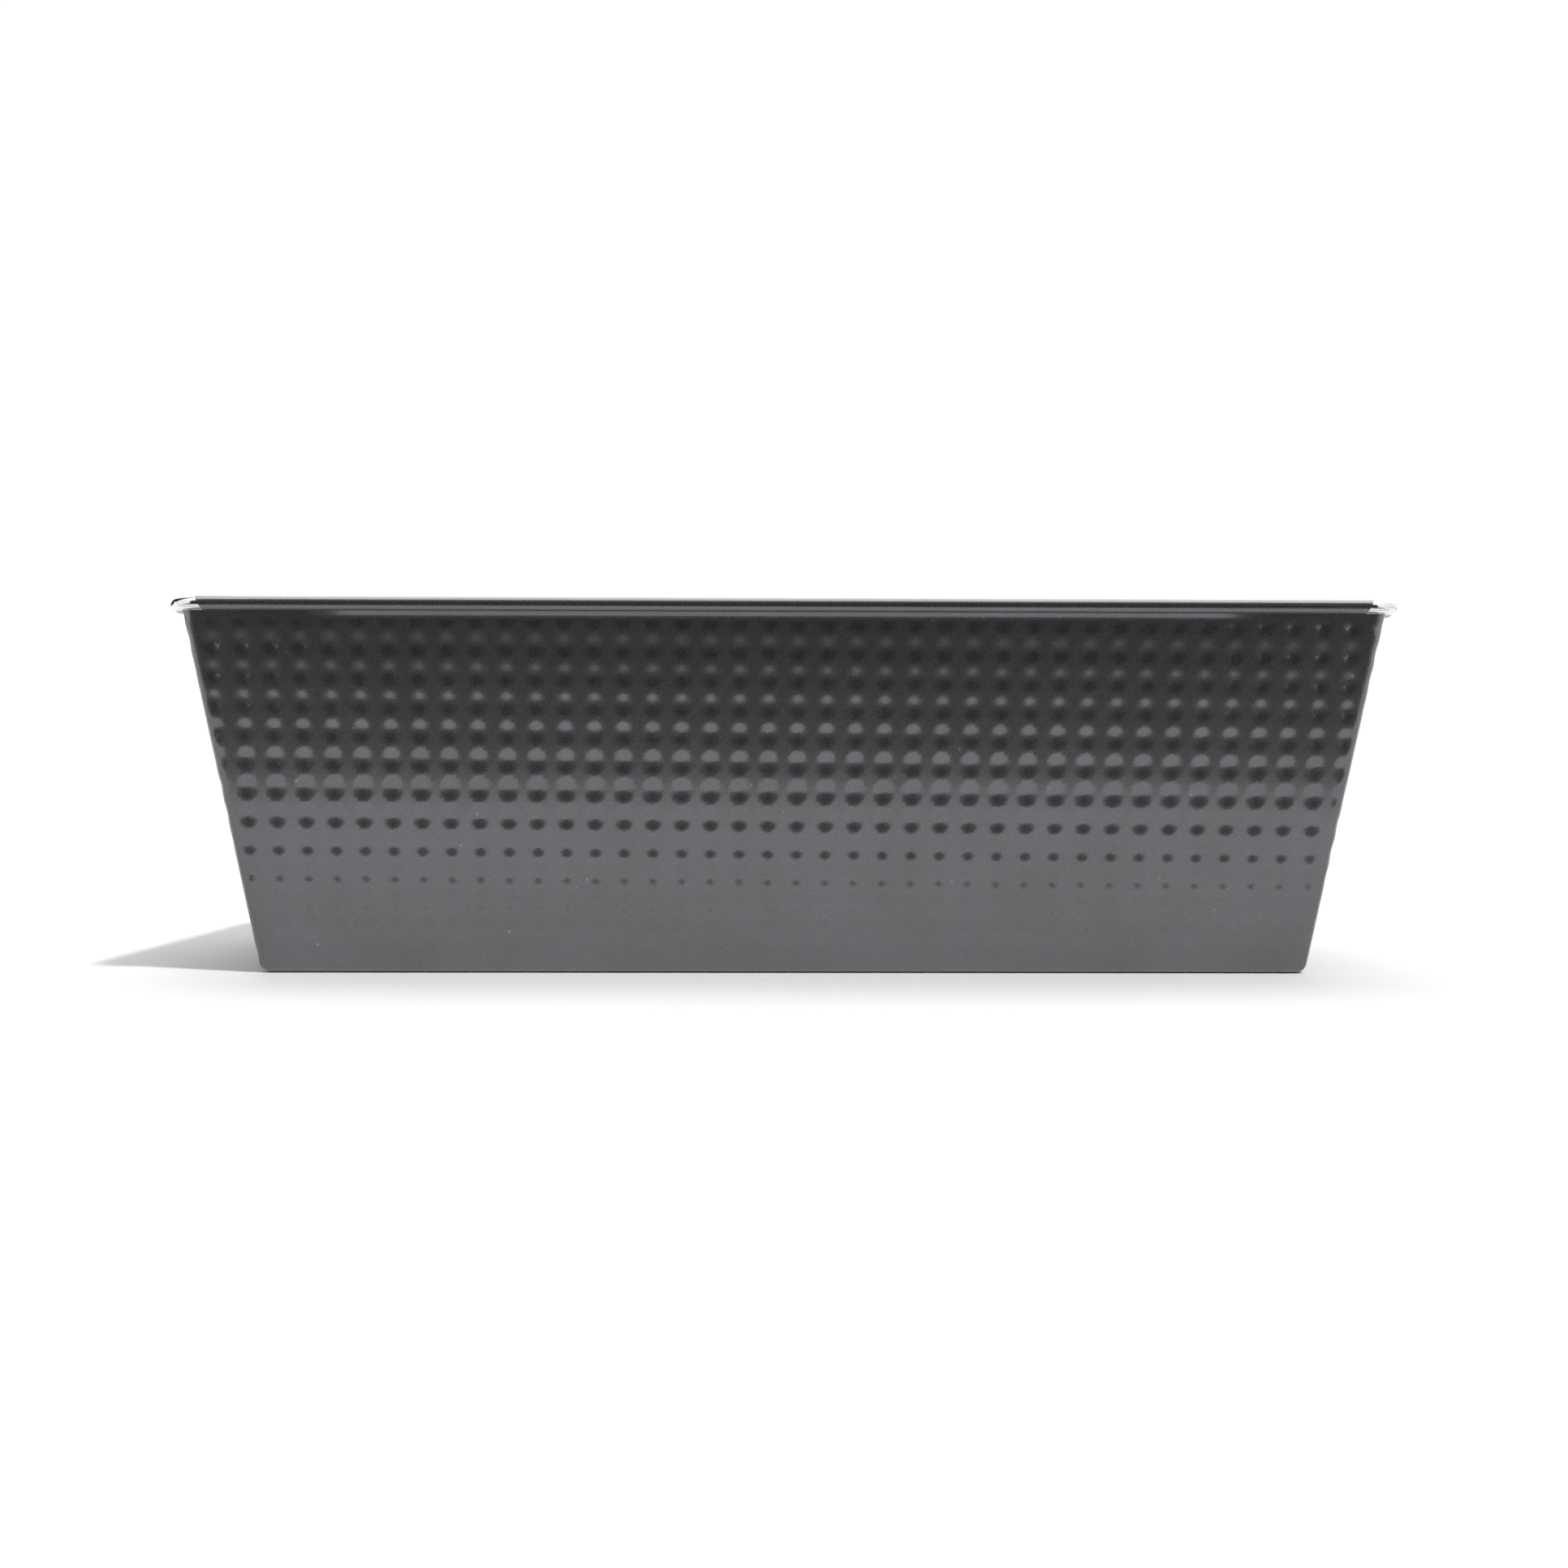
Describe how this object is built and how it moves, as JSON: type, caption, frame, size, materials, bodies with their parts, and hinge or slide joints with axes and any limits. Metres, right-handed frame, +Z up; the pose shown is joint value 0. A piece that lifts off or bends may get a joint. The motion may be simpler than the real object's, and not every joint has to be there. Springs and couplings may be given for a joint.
{
  "type": "loaf pan",
  "caption": "Rectangular loaf pan with leaning walls, folded from dimpled non-stick sheet steel, its rim rolled round a bright wire ring that shows at the corners.",
  "frame": {"origin": "centre of the underside of the base, on the table", "axes": "+X along the pan's length, +Y across it, +Z up out of its open mouth"},
  "size_m": [0.254, 0.114, 0.0782],
  "materials": {
    "coated_sheet": "dark grey semi-gloss non-stick coating on thin sheet steel with a square grid of embossed round dimples",
    "bright_wire": "bright drawn steel wire with fine marks along its length"
  },
  "bodies": {
    "root": {"pan_body": "coated_sheet", "rim_wire": "bright_wire"}
  },
  "joints": []
}
